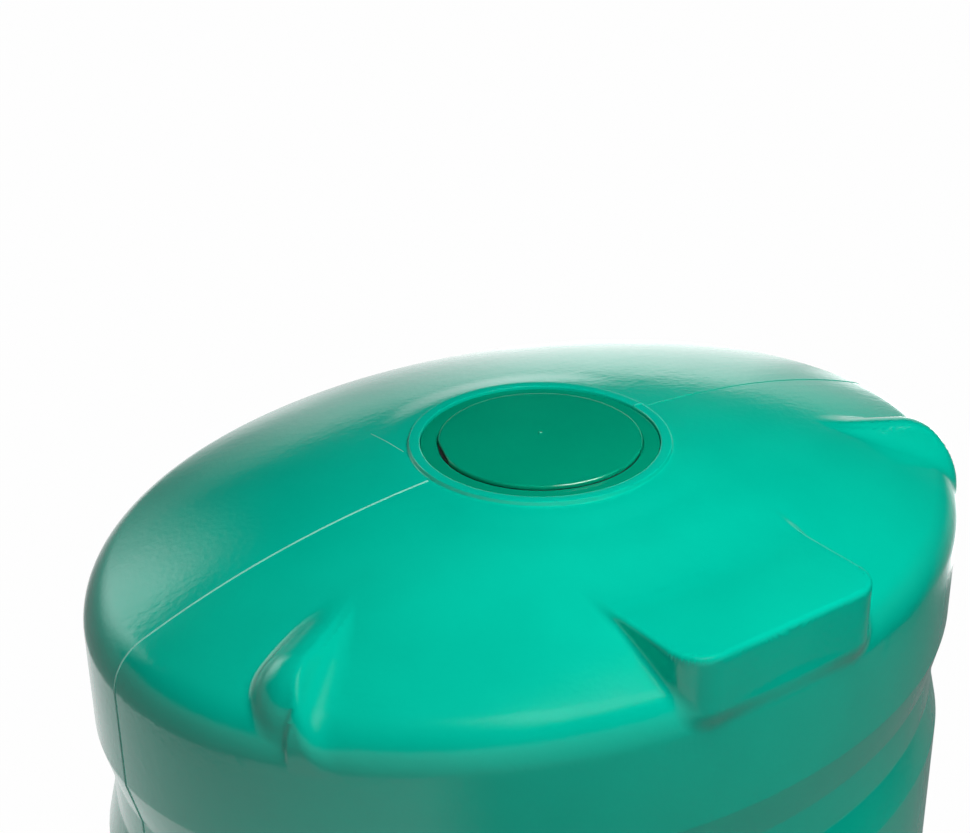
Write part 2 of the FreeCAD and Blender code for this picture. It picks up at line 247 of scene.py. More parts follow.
def eased(corners, count=5):
    """Outline through corners given as (radius, height, rounding)."""
    points = [corners[0][:2]]
    for before, corner, after in zip(corners, corners[1:], corners[2:]):
        place = np.array(corner[:2])
        back = np.array(before[:2]) - place
        ahead = np.array(after[:2]) - place
        back /= np.linalg.norm(back)
        ahead /= np.linalg.norm(ahead)
        half = math.acos(np.clip(back @ ahead, -1, 1)) / 2
        if corner[2] == 0:
            points.append(tuple(place))
            continue
        centre = place + (back + ahead) / np.linalg.norm(back + ahead) * corner[2] / math.sin(half)
        first = place + back * corner[2] / math.tan(half) - centre
        last = place + ahead * corner[2] / math.tan(half) - centre
        sweep = math.pi - 2 * half
        for share in np.linspace(0, 1, count + 1):
            turned = math.sin((1 - share) * sweep) * first + math.sin(share * sweep) * last
            points.append(tuple(centre + turned / math.sin(sweep)))
    points.append(corners[-1][:2])
    return points


def wall_corners(inset, rounding):
    """Corners of the floor and wall from the middle of the floor up to the shoulder, drawn in by inset."""
    size = sizes()
    outer = HALF_LENGTH - inset
    band = HALF_LENGTH - FOOT_RADIUS - size.foot_band + inset * (math.sqrt(2) - 1)
    corners = [(0, size.foot_rise + inset, 0), (band - size.foot_rise, size.foot_rise + inset, rounding / 2),
               (band, inset, rounding / 2), (outer, inset, FOOT_RADIUS - inset - 0.0005)]
    first = FOOT_RADIUS + size.waist_edge + size.waist_height / 2
    last = WALL_TOP - size.waist_head - size.waist_height / 2
    for middle in np.linspace(first, last, size.waist_count):
        edge = size.waist_height / 2
        flat = edge - size.waist_slope
        corners += [(outer, middle - edge, rounding), (outer - size.waist_depth, middle - flat, rounding),
                    (outer - size.waist_depth, middle + flat, rounding), (outer, middle + edge, rounding)]
    return corners + [(outer, WALL_TOP, 0)]


def shell_outline():
    """Half of the shell's cut face: outside from the floor's middle to the lip, then the lining back down."""
    size = sizes()
    start, angle = shoulder_start()
    centre = (HALF_LENGTH - size.shoulder, WALL_TOP)
    outside = eased(wall_corners(0, size.waist_round))
    outside += arc(centre, size.shoulder, 0, angle, 16)[1:]
    rows = round((start - LIP_RADIUS) / ROW_STEP)
    foot = LIP_RADIUS + LIP_FIT
    crown = np.linspace(start, foot + size.lip_flank, rows)[1:]
    outside += [(radius, crown_height(radius)) for radius in crown]
    seat = RING_TOP - FLANGE
    recess = RING_RADIUS + LIP_FIT
    neck = size.neck_bore
    sleeve = neck + size.wall
    mouth = eased([outside.pop() + (0,), (foot, crown_height(foot), 0.0014), (foot - 0.0010, LIP_TOP, 0.0011),
                   (recess, LIP_TOP, 0.0014), (recess, seat, SMALL_EDGE), (neck, seat, 0.0012),
                   (neck, NECK_END, 0.0015), (sleeve, NECK_END, 0.0015),
                   (sleeve, crown_height(sleeve) - size.wall, 0)])
    inner_start = start - size.wall * math.sin(math.atan(crown_slope(start)))
    ceiling = np.linspace(neck + 0.02, inner_start, 11)
    lining = [(radius, crown_height(radius) - size.wall) for radius in ceiling]
    lining += arc(centre, size.shoulder - size.wall, angle, 0, 5)[1:]
    lining += eased(wall_corners(size.wall, size.waist_round), 1)[-2::-1]
    return outside + mouth + lining


# Modelling

def start_with(add, **settings):
    """A new primitive, alone in the selection and open in edit mode with all of it selected."""
    bpy.ops.object.select_all(action="DESELECT")
    add(**settings)
    bpy.ops.object.mode_set(mode="EDIT")
    bpy.ops.mesh.select_all(action="SELECT")
    return bpy.context.object


def draw_path(points):
    """A vertex drawn out along points."""
    piece = start_with(bpy.ops.mesh.primitive_plane_add, size=0.01)
    bpy.ops.mesh.merge(type="CENTER")
    bpy.ops.transform.translate(value=points[0])
    for before, after in zip(points, points[1:]):
        move = tuple(last - first for first, last in zip(before, after))
        bpy.ops.mesh.extrude_vertices_move(TRANSFORM_OT_translate={"value": move})
    return piece


def draw_outline(points):
    """A path along the points of an outline in the XZ plane."""
    return draw_path([(radius, 0, height) for radius, height in points])


def spin_outline(points, columns):
    """An outline spun round the upright axis into a closed skin that faces outwards."""
    piece = draw_outline(points)
    bpy.ops.mesh.select_all(action="SELECT")
    bpy.ops.mesh.spin(steps=columns, angle=2 * math.pi, center=(0, 0, 0), axis=(0, 0, 1))
    bpy.ops.mesh.select_all(action="SELECT")
    bpy.ops.mesh.remove_doubles(threshold=0.00004)
    bpy.ops.mesh.normals_make_consistent(inside=False)
    bpy.ops.object.mode_set(mode="OBJECT")
    return piece


def only(piece):
    """Selects one piece and makes it active."""
    bpy.ops.object.select_all(action="DESELECT")
    piece.select_set(True)
    bpy.context.view_layer.objects.active = piece


def stand_in_wall(piece, place, axis):
    """Turns a piece made along +Z to a socket's axis, moves it there and applies both."""
    only(piece)
    piece.rotation_mode = "QUATERNION"
    piece.rotation_quaternion = Vector((0, 0, 1)).rotation_difference(axis)
    piece.location = place
    bpy.ops.object.transform_apply(location=True, rotation=True, scale=True)


def apply_modifier(piece, kind, **settings):
    only(piece)
    modifier = piece.modifiers.new(kind.title(), kind)
    for name, value in settings.items():
        setattr(modifier, name, value)
    bpy.ops.object.modifier_apply(modifier=modifier.name)


def hand_over(piece, name, body, slot, material, nodes):
    """Names a finished piece, gives it its finish and ties it to the frame."""
    piece.name = name
    piece.data.name = name
    piece.data.materials.clear()
    piece.data.materials.append(material)
    only(piece)
    bpy.ops.object.shade_smooth_by_angle(angle=math.radians(38))
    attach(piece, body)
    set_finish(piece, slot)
    if nodes:
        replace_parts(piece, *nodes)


def corners_of(piece):
    points = np.empty(3 * len(piece.data.vertices))
    piece.data.vertices.foreach_get("co", points)
    return points.reshape(-1, 3)


def move_corners(piece, points):
    piece.data.vertices.foreach_set("co", points.ravel())
    piece.data.update()


# Finishes

def new_material(name):
    """A new node material, its tree and its shader."""
    material = bpy.data.materials.new(name)
    material.use_nodes = True
    tree = material.node_tree
    return material, tree, tree.nodes["Principled BSDF"]


def add_node(tree, kind, inputs=None, **settings):
    """A new node with its settings, and with its inputs linked to sockets or set to values."""
    node = tree.nodes.new(kind)
    for name, value in settings.items():
        setattr(node, name, value)
    for name, value in (inputs or {}).items():
        if isinstance(value, bpy.types.NodeSocket):
            tree.links.new(value, node.inputs[name])
        else:
            node.inputs[name].default_value = value
    return node


def math_node(tree, operation, *inputs):
    """The result of a sum on sockets or values."""
    return add_node(tree, "ShaderNodeMath", dict(enumerate(inputs)), operation=operation).outputs[0]


def noise(tree, place, scale, detail):
    inputs = {"Vector": place, "Scale": scale, "Detail": detail}
    return add_node(tree, "ShaderNodeTexNoise", inputs).outputs["Fac"]


def map_range(tree, value, start, stop, low=0.0, high=1.0, ease="LINEAR"):
    """A value between start and stop, carried over to between low and high."""
    inputs = {"Value": value, "From Min": start, "From Max": stop, "To Min": low, "To Max": high}
    return add_node(tree, "ShaderNodeMapRange", inputs, interpolation_type=ease).outputs["Result"]


def object_place(tree):
    return add_node(tree, "ShaderNodeTexCoord").outputs["Object"]


def view_axes(tree, place):
    """A place split along the picture's right, its depth and upwards."""
    turned = add_node(tree, "ShaderNodeMapping", {"Vector": place, "Rotation": (0, 0, VIEW_TURN)})
    return add_node(tree, "ShaderNodeSeparateXYZ", {0: turned.outputs["Vector"]}).outputs


def moulded_grain():
    """Shared group: the uneven tone, gloss and grain of a blow-moulded surface."""
    if "moulded_grain" in bpy.data.node_groups:
        return bpy.data.node_groups["moulded_grain"]
    group = bpy.data.node_groups.new("moulded_grain", "ShaderNodeTree")
    for name, value in (("Gloss", 0.3), ("Unevenness", 0.1), ("Chatter", 0.0)):
        group.interface.new_socket(name, in_out="INPUT", socket_type="NodeSocketFloat").default_value = value
    for way in ("INPUT", "OUTPUT"):
        group.interface.new_socket("Colour", in_out=way, socket_type="NodeSocketColor")
    for name in ("Roughness", "Height"):
        group.interface.new_socket(name, in_out="OUTPUT", socket_type="NodeSocketFloat")
    given = group.nodes.new("NodeGroupInput").outputs
    result = group.nodes.new("NodeGroupOutput").inputs
    place = object_place(group)
    cloud = noise(group, place, 9.0, 3.0)
    tone = map_range(group, cloud, 0.3, 0.7, 0.95, 1.03)
    painted = add_node(group, "ShaderNodeVectorMath", {0: given["Colour"], "Scale": tone}, operation="SCALE")
    group.links.new(painted.outputs["Vector"], result["Colour"])
    wave = math_node(group, "SUBTRACT", cloud, 0.5)
    rough = math_node(group, "MULTIPLY_ADD", wave, given["Unevenness"], given["Gloss"])
    group.links.new(rough, result["Roughness"])
    fine, swell = noise(group, place, 160.0, 2.0), noise(group, place, 34.0, 2.0)
    leather = math_node(group, "MULTIPLY_ADD", fine, 0.9, swell)
    drawn = add_node(group, "ShaderNodeMapping", {"Vector": place, "Rotation": (0, 0, VIEW_TURN),
                                                  "Scale": (14, 125, 14)})
    streaks = noise(group, drawn.outputs["Vector"], 1.0, 1.0)
    behind = map_range(group, view_axes(group, place)["Y"], 0.10, 0.22)
    depth = math_node(group, "MULTIPLY", behind, given["Chatter"])
    group.links.new(math_node(group, "MULTIPLY_ADD", streaks, depth, leather), result["Height"])
    return group


def plastic(name, colour, gloss, depth, shine=0.5, chatter=0.0):
    """Moulded plastic with the shared grain."""
    if name in bpy.data.materials:
        return bpy.data.materials[name]
    material, tree, shader = new_material(name)
    grain = add_node(tree, "ShaderNodeGroup", node_tree=moulded_grain())
    grain.inputs["Colour"].default_value = (*colour, 1)
    grain.inputs["Gloss"].default_value = gloss
    grain.inputs["Chatter"].default_value = chatter
    bump = add_node(tree, "ShaderNodeBump", {"Height": grain.outputs["Height"], "Strength": 0.35,
                                             "Distance": depth})
    tree.links.new(grain.outputs["Colour"], shader.inputs["Base Color"])
    tree.links.new(grain.outputs["Roughness"], shader.inputs["Roughness"])
    tree.links.new(bump.outputs["Normal"], shader.inputs["Normal"])
    shader.inputs["Specular IOR Level"].default_value = shine
    return material


def shell_plastic():
    return plastic("tank_plastic_finish", colours().shell, 0.15, 0.0006, chatter=0.7)


def lid_plastic():
    return plastic("lid_plastic_finish", colours().lid, 0.11, 0.0002, 0.18)


def ridge_plastic_painted_highlight():
    """The ridge's plastic: painted pale along the left half as a painted highlight, the shell's own green
    along the right.
    """
    material = plastic("parting_ridge_finish", colours().ridge, 0.2, 0.0002)
    tree = material.node_tree
    # The pale left half is a painted highlight; the right half keeps the shell's green
    along = add_node(tree, "ShaderNodeSeparateXYZ", {0: object_place(tree)}).outputs["X"]
    tone = add_node(tree, "ShaderNodeMix", {"Factor": map_range(tree, along, -0.05, 0.05),
                                            "A": (*colours().ridge, 1), "B": (*colours().shell, 1)},
                    data_type="RGBA")
    grain = next(node for node in tree.nodes if node.type == "GROUP")
    tree.links.new(tone.outputs["Result"], grain.inputs["Colour"])
    return material


def turned_brass():
    """Turned brass with fine tool rings and a dulled tone."""
    if "turned_brass_finish" in bpy.data.materials:
        return bpy.data.materials["turned_brass_finish"]
    material, tree, shader = new_material("turned_brass_finish")
    dull = noise(tree, object_place(tree), 90.0, 4.0)
    tone = map_range(tree, dull, 0.0, 1.0, 0.72, 1.0)
    painted = add_node(tree, "ShaderNodeVectorMath", {0: colours().brass, "Scale": tone}, operation="SCALE")
    rough = map_range(tree, dull, 0.0, 1.0, 0.42, 0.22)
    tree.links.new(painted.outputs["Vector"], shader.inputs["Base Color"])
    tree.links.new(rough, shader.inputs["Roughness"])
    shader.inputs["Metallic"].default_value = 1.0
    return material


# The shell

def smooth_least(first, second, width):
    """The lesser of two distances, run into each other over a width."""
    share = np.clip(0.5 + 0.5 * (second - first) / width, 0, 1)
    return second * (1 - share) + first * share - width * share * (1 - share)


def shell_distance(points):
    """Distance outwards from the plain shell, true near its surface."""
    size = sizes()
    start, _ = shoulder_start()
    x, y, z = points.T
    share = np.maximum(np.hypot(x / HALF_LENGTH, y / HALF_WIDTH), 1e-6)
    radius = HALF_LENGTH * share
    stretch = np.hypot(x / HALF_LENGTH, y * HALF_LENGTH / HALF_WIDTH ** 2) / share
    across = radius - (HALF_LENGTH - size.shoulder)
    above = z - WALL_TOP
    reach = np.maximum(np.hypot(across, above), 1e-9)
    slope = crown_slope(radius)
    on_crown = (radius < start) & (across * slope < above)
    plain = np.where(above < 0, radius - HALF_LENGTH, reach - size.shoulder)
    run = np.where(above < 0, 1, across / reach)
    rise = np.where(above < 0, 0, above / reach)
    plain = np.where(on_crown, z - crown_height(radius), plain)
    run = np.where(on_crown, slope, run)
    rise = np.where(on_crown, 1, rise)
    return plain / np.hypot(run * stretch, rise)


def rounded(first, second, bend):
    """Distance from an edge where two faces meet in a bend."""
    first = first + bend
    second = second + bend
    outside = np.hypot(np.maximum(first, 0), np.maximum(second, 0))
    return outside + np.minimum(np.maximum(first, second), 0) - bend


def lug_axes(points, side):
    """Places along the right (1) or left (-1) lug, and across it from its front edge."""
    size = sizes()
    x, y = points[:, 0] * side, points[:, 1]
    along = x * math.cos(size.lug_turn) - y * math.sin(size.lug_turn)
    return along, x * math.sin(size.lug_turn) + y * math.cos(size.lug_turn) - size.lug_front


def lug_blend(points, side):
    """How widely a lug runs into the roof: softly in front of its outer part, tightly elsewhere."""
    size = sizes()
    along, across = lug_axes(points, side)
    in_front = np.clip(0.5 - across / size.lug_edge, 0, 1)
    grown = np.clip((along - 0.68 * size.lug_reach) / (0.16 * size.lug_reach), 0, 1)
    return size.lug_tail + (size.lug_blend - size.lug_tail) * in_front * grown


def lug_distance(points, side, growth):
    """Distance from the right (1) or left (-1) lug, which stands lower while it grows."""
    size = sizes()
    z, reach = points[:, 2], size.lug_reach
    along, across = lug_axes(points, side)
    top = LUG_TOP - FORM_START * (1 - growth)
    low = WALL_TOP + 0.008
    profile = np.maximum(rounded(along - reach, z - top, size.lug_nose),
                         rounded(along - reach, low - z, 0.02))
    profile = np.maximum(profile, reach / 2 - along)
    front = (z - top) * math.cos(size.lug_slant) - across * math.sin(size.lug_slant)
    crest = size.lug_edge / math.sin(size.lug_slant) + size.lug_crest
    return np.where(across < crest, rounded(profile, front, size.lug_edge),
                    rounded(profile, across - crest - size.lug_back, size.lug_back))


def inlet_plan(points):
    """Distance from the inlet pad's outline, seen from above."""
    x, y, _ = points.T
    return rounded(np.abs(x) - INLET_HALF, -y - INLET_REACH, sizes().inlet_corner)


def inlet_distance(points, growth):
    """Distance from the inlet pad, which stands lower while it grows."""
    size = sizes()
    y, z = points[:, 1], points[:, 2]
    plan = np.maximum(inlet_plan(points), y + INLET_REACH / 2)
    top = INLET_TOP - size.inlet_sink - FORM_START * (1 - growth)
    return np.maximum(rounded(plan, z - top, size.inlet_edge), rounded(plan, WALL_TOP + 0.004 - z, 0.02))


def forms_distances(points, growth=1.0):
    """Distances from the forms on the front shoulder, each with its blend."""
    lugs = [(lug_distance(points, side, growth), lug_blend(points, side)) for side in (1, -1)]
    return lugs + [(inlet_distance(points, growth), sizes().inlet_blend)]


def grown_distance(points, growth):
    """Distance from the shell with its forms raised by a share of their height."""
    distance = shell_distance(points)
    for form, blend in forms_distances(points, growth):
        distance = smooth_least(distance, form, blend)
    return distance


def slope_of(distance, points, step=0.0002):
    """Value and gradient of a distance at points."""
    here = distance(points)
    columns = []
    for axis in np.eye(3) * step:
        columns.append((distance(points + axis) - distance(points - axis)) / (2 * step))
    return here, np.stack(columns, axis=1)


def settle(distance, points, times=2):
    """Moves points onto the zero of a distance."""
    for _ in range(times):
        here, slope = slope_of(distance, points)
        points = points - slope * (here / np.maximum((slope ** 2).sum(axis=1), 0.2))[:, None]
    return points


def narrow_to_oval(piece):
    """Narrows the spun shell to its oval, but leaves the mouth round, and lets the crown follow."""
    points = corners_of(piece)
    start, _ = shoulder_start()
    radius = np.hypot(points[:, 0], points[:, 1])
    ease = np.clip((radius - LIP_RADIUS - 0.002) / (start - LIP_RADIUS - 0.002), 0, 1)
    points[:, 1] *= 1 - ease * (1 - HALF_WIDTH / HALF_LENGTH)
    oval = HALF_LENGTH * np.hypot(points[:, 0] / HALF_LENGTH, points[:, 1] / HALF_WIDTH)
    follows = np.clip((radius - LIP_RADIUS) / 0.045, 0, 1)
    follows = follows ** 2 * (3 - 2 * follows)
    lining = (points[:, 2] < LIP_TOP - 0.0085) & (radius > sizes().neck_bore + 0.001)
    follows = np.where(lining & (radius < LIP_RADIUS + 0.003), 1, follows)
    on_roof = (points[:, 2] > WALL_TOP) & (radius < start + 1e-6)
    shift = crown_height(oval) - crown_height(radius)
    points[:, 2] += np.where(on_roof, follows * shift, 0)
    move_corners(piece, points)


def select_near(piece, near):
    """Selects the faces that have all their corners near."""
    mesh = piece.data
    flags = [all(near[corner] for corner in face.vertices) for face in mesh.polygons]
    mesh.vertices.foreach_set("select", np.zeros(len(mesh.vertices), bool))
    mesh.edges.foreach_set("select", np.zeros(len(mesh.edges), bool))
    mesh.polygons.foreach_set("select", flags)


def near_forms(points, margin):
    """Which points are on the forms or within a margin of them."""
    return np.min([form for form, _ in forms_distances(points)], axis=0) < margin


def refine_roof(piece):
    """Divides the roof's faces twice where the forms will rise, and once more along the inlet pad's edge."""
    for step in range(3):
        points = corners_of(piece)
        near = near_forms(points, FORM_MARGIN) & (np.abs(shell_distance(points)) < 0.002)
        if step == 2:
            near &= (np.abs(inlet_plan(points)) < 0.012) & (points[:, 1] < -0.21)
        select_near(piece, near)
        only(piece)
        bpy.ops.object.mode_set(mode="EDIT")
        bpy.ops.mesh.select_mode(type="FACE")
        bpy.ops.mesh.subdivide(number_cuts=1)
        bpy.ops.object.mode_set(mode="OBJECT")


def raise_forms(piece):
    """Draws the forms out of the roof, spreads their points evenly and returns which points they are."""
    points = corners_of(piece)
    near = near_forms(points, FORM_MARGIN - 0.001) & (np.abs(shell_distance(points)) < 0.003)
    near &= points[:, 2] > WALL_TOP - 0.03
    index = np.flatnonzero(near)
    order = np.full(len(points), -1)
    order[index] = np.arange(len(index))
    edges = np.empty(2 * len(piece.data.edges), int)
    piece.data.edges.foreach_get("vertices", edges)
    edges = edges.reshape(-1, 2)
    ends = np.concatenate([edges, edges[:, ::-1]])
    ends = ends[near[ends[:, 0]]]
    moved, beside = order[ends[:, 0]], ends[:, 1]
    count = np.bincount(moved, minlength=len(index))[:, None]
    points[index] = settle(shell_distance, points[index])
    for growth in [*np.linspace(0, 1, 13), *[1.0] * 14]:
        def distance(places):
            return grown_distance(places, growth)

        sums = np.zeros((len(index), 3))
        np.add.at(sums, moved, points[beside])
        pull = sums / count - points[index]
        _, slope = slope_of(distance, points[index])
        normal = slope / np.linalg.norm(slope, axis=1)[:, None]
        pull -= normal * (pull * normal).sum(axis=1)[:, None]
        points[index] = settle(distance, points[index] + 0.5 * pull)
    move_corners(piece, points)
    return index


def true_normals(piece, index):
    """Shades the raised forms by the slope of their distance, so that their bends stay even."""
    points = corners_of(piece)
    _, slope = slope_of(lambda places: grown_distance(places, 1.0), points[index])
    normals = np.zeros((len(points), 3))
    normals[index] = slope / np.linalg.norm(slope, axis=1)[:, None]
    corners = np.empty(len(piece.data.loops), int)
    piece.data.loops.foreach_get("vertex_index", corners)
    piece.data.normals_split_custom_set(normals[corners])


class TANK_OT_shell(bpy.types.Operator):
    """Mould the oval shell with its mouth, waists, inlet pad and lugs"""
    bl_idname = "tank.shell"
    bl_label = "Shell"

    def execute(self, context):
        shell = spin_outline(shell_outline(), sizes().columns)
        narrow_to_oval(shell)
        for place, axis in SOCKETS.values():
            start_with(bpy.ops.mesh.primitive_cylinder_add, vertices=64, radius=BOSS_RADIUS - BOSS_LAP,
                       depth=4 * BOSS_DEPTH)
            bpy.ops.object.mode_set(mode="OBJECT")
            cutter = context.object
            stand_in_wall(cutter, place, axis)
            apply_modifier(shell, "BOOLEAN", operation="DIFFERENCE", object=cutter)
            bpy.data.objects.remove(cutter)
        refine_roof(shell)
        index = raise_forms(shell)
        hand_over(shell, "moulded_shell", "tank", "tank_plastic", shell_plastic(), SHELL_NODES)
        true_normals(shell, index)
        return {"FINISHED"}


class TANK_OT_parting_ridge(bpy.types.Operator):
    """Raise the thin ridge that the two halves of the mould leave along the shell"""
    bl_idname = "tank.parting_ridge"
    bl_label = "Parting ridge"

    def witness_line(self, shell, x, near, far):
        """Path on the roof along the edge of a mould insert, at an x and between two places in Y."""
        above = [Vector((x, y, LIP_TOP)) for y in np.linspace(near, far, 8)]
        path = draw_path([shell.closest_point_on_mesh(place)[1] for place in above])
        bpy.ops.object.mode_set(mode="OBJECT")
        return path

    def share_of_depth(self, place):
        """Ridge's share of its full radius: thin at the right, a burr on the lip, faint on a witness line."""
        if abs(place.y) > 0.01:
            return 0.35
        if place.x < 0:
            return 1.0
        return 1.1 if place.x < LIP_RADIUS + 0.002 else 0.6

    def execute(self, context):
        shell = bpy.data.objects["moulded_shell"]
        points = corners_of(shell)
        radius = np.abs(points[:, 0])
        skin = 0.0135
        end = np.where(points[:, 0] < 0, LIP_RADIUS + 0.003, LIP_RADIUS - 0.0112)
        outside = (np.abs(points[:, 1]) < 1e-5) & (points[:, 2] > FOOT_RADIUS)
        outside &= (np.abs(shell_distance(points)) < skin) & (radius > end)
        outside &= (points[:, 2] >= WALL_TOP) | (radius >= HALF_LENGTH - skin)
        only(shell)
        bpy.ops.object.duplicate()
        ridge = context.object
        bpy.ops.object.mode_set(mode="EDIT")
        bpy.ops.mesh.select_all(action="DESELECT")
        bpy.ops.object.mode_set(mode="OBJECT")
        ridge.data.vertices.foreach_set("select", ~outside)
        bpy.ops.object.mode_set(mode="EDIT")
        bpy.ops.mesh.select_mode(type="VERT")
        bpy.ops.mesh.delete(type="VERT")
        bpy.ops.object.mode_set(mode="OBJECT")
        witness = self.witness_line(shell, x=-0.121, near=0.065, far=0.127)
        only(ridge)
        witness.select_set(True)
        bpy.ops.object.join()
        bpy.ops.object.convert(target="CURVE")
        ridge = context.object
        for spline in ridge.data.splines:
            for point in spline.points:
                point.radius = self.share_of_depth(point.co)
        ridge.data.bevel_depth = sizes().ridge
        ridge.data.bevel_resolution = 2
        ridge.data.use_fill_caps = True
        bpy.ops.object.convert(target="MESH")
        ridge = context.object
        # The copy of the shell brought the shell's own ties along
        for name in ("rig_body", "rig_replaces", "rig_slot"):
            if name in ridge:
                del ridge[name]
        hand_over(ridge, "parting_ridge", "tank", "tank_plastic", ridge_plastic_painted_highlight(), [])
        return {"FINISHED"}


# The mouth

class TANK_OT_screw_ring(bpy.types.Operator):
    """Turn the ring that screws into the neck"""
    bl_idname = "tank.screw_ring"
    bl_label = "Screw ring"

    def execute(self, context):
        inner = COVER_RADIUS + COVER_GAP
        skirt = sizes().neck_bore - 0.001
        bore = skirt - 0.0035
        seat = RING_TOP - FLANGE
        under = SEAL_LOW - LEDGE_DEPTH
        rim = 0.0011
        outline = eased([(inner, SEAL_LOW, 0), (inner, RING_TOP, rim), (RING_RADIUS, RING_TOP, rim),
                         (RING_RADIUS, seat, 0.0004), (skirt, seat, 0.0004), (skirt, RING_END, SMALL_EDGE),
                         (bore, RING_END, SMALL_EDGE), (bore, under, SMALL_EDGE),
                         (LEDGE_RADIUS, under, SMALL_EDGE), (LEDGE_RADIUS, SEAL_LOW, SMALL_EDGE),
                         (inner, SEAL_LOW, 0)], 4)
        ring = spin_outline(outline, 192)
        hand_over(ring, "screw_ring", "tank", "lid_plastic", lid_plastic(), ["lid_ring"])
        return {"FINISHED"}


class TANK_OT_gasket(bpy.types.Operator):
    """Lay the rubber gasket on the ring's ledge"""
    bl_idname = "tank.gasket"
    bl_label = "Gasket"

    def execute(self, context):
        middle = (SEAL_LOW + SEAL_TOP) / 2
        outline = eased([(GASKET_BORE, middle, 0), (GASKET_BORE, SEAL_TOP, SMALL_EDGE),
                         (SEAL_RADIUS, SEAL_TOP, SMALL_EDGE), (SEAL_RADIUS, SEAL_LOW, SMALL_EDGE),
                         (GASKET_BORE, SEAL_LOW, SMALL_EDGE), (GASKET_BORE, middle, 0)], 3)
        gasket = spin_outline(outline, 128)
        rubber = plastic("gasket_rubber_finish", colours().rubber, 0.6, 0.0002)
        hand_over(gasket, "cover_gasket", "tank", "seal_rubber", rubber, ["lid_seal"])
        return {"FINISHED"}


class TANK_OT_cover(bpy.types.Operator):
    """Turn the crowned lift-out cover with its gate mark and cut its lifting flat"""
    bl_idname = "tank.cover"
    bl_label = "Cover"
    crown: length("Crown", "Rise of the cover's middle", 0.0015)
    flat: length("Flat", "How deep the lifting flat is cut", 0.0028)
    turn: FloatProperty(name="Turn", description="Long axis round to the lifting flat",
                        default=math.radians(159), subtype="ANGLE")
    gate: FloatVectorProperty(name="Gate", description="Place of the gate mark, a little off the middle",
                              default=(0.004, 0.0053), size=2, subtype="XYZ", unit="LENGTH")

    def execute(self, context):
        under = SEAL_TOP
        edge = COVER_TOP - self.crown
        rim, bore = SPIGOT_RADIUS, SPIGOT_RADIUS - 0.0025
        crowned = [(radius, edge + self.crown * (1 - (radius / COVER_RADIUS) ** 2))
                   for radius in np.linspace(0, COVER_RADIUS - 0.004, 24)]
        side = eased([crowned[-1] + (0,), (COVER_RADIUS, edge + 0.0001, 0.0019),
                      (COVER_RADIUS, under, SMALL_EDGE), (rim, under, SMALL_EDGE),
                      (rim, COVER_END, SMALL_EDGE), (bore, COVER_END, SMALL_EDGE),
                      (bore, under + self.crown / 8, 0.001),
                      (0, under + self.crown, 0)], 4)
        cover = spin_outline(crowned + side[1:], 192)
        away = Vector((math.cos(self.turn), math.sin(self.turn), 0))
        only(cover)
        bpy.ops.object.mode_set(mode="EDIT")
        bpy.ops.mesh.select_all(action="SELECT")
        bpy.ops.mesh.bisect(plane_co=away * (COVER_RADIUS - self.flat), plane_no=away, use_fill=True,
                            clear_outer=True)
        bpy.ops.mesh.bevel(offset=SMALL_EDGE, segments=2, affect="EDGES")
        bpy.ops.object.mode_set(mode="OBJECT")
        bump = eased([(0, 0.0013, 0), (0.0019, 0.0013, 0.0014), (0.0026, -0.001, 0), (0, -0.001, 0)])
        gate = spin_outline(bump, 24)
        stand_in_wall(gate, Vector((*self.gate, COVER_TOP)), Vector((0, 0, 1)))
        only(cover)
        gate.select_set(True)
        bpy.ops.object.join()
        hand_over(cover, "lift_cover", "cover", "lid_plastic", lid_plastic(), ["lid_cover"])
        return {"FINISHED"}


# The sockets

class TANK_OT_bosses(bpy.types.Operator):
    """Mould the round bosses that the sockets sit in"""
    bl_idname = "tank.bosses"
    bl_label = "Bosses"

    def execute(self, context):
        inside = -0.012
        outline = eased([(BUSH_BODY, inside, 0), (BUSH_BODY, -FLANGE, 0), (BUSH_RADIUS, -FLANGE, 0),
                         (BUSH_RADIUS, 0, 0.0012), (BOSS_RADIUS, 0, 0.0035),
                         (BOSS_RADIUS, -BOSS_DEPTH, 0.002), (BUSH_BODY, -BOSS_DEPTH, 0),
                         (BUSH_BODY, inside, 0)], 4)
        for name, (place, axis) in SOCKETS.items():
            boss = spin_outline(outline, 96)
            stand_in_wall(boss, place, axis)
            hand_over(boss, name + "_boss", "tank", "tank_plastic", shell_plastic(), [name + "_pad"])
        return {"FINISHED"}


def bush_thread(bore, depth):
    """Helical ridge of a pipe thread inside a bore, along -Z from the face."""
    turns = int((depth - FLANGE) / THREAD_PITCH)
    root, low = bore + THREAD_DEPTH, 0.001 - depth
    thread = draw_outline([(root, low), (bore, low + THREAD_PITCH / 2), (root, low + THREAD_PITCH)])
    bpy.ops.object.mode_set(mode="OBJECT")
    apply_modifier(thread, "SCREW", axis="Z", screw_offset=THREAD_PITCH, iterations=turns, steps=40,
                   render_steps=40, use_merge_vertices=False)
    return thread


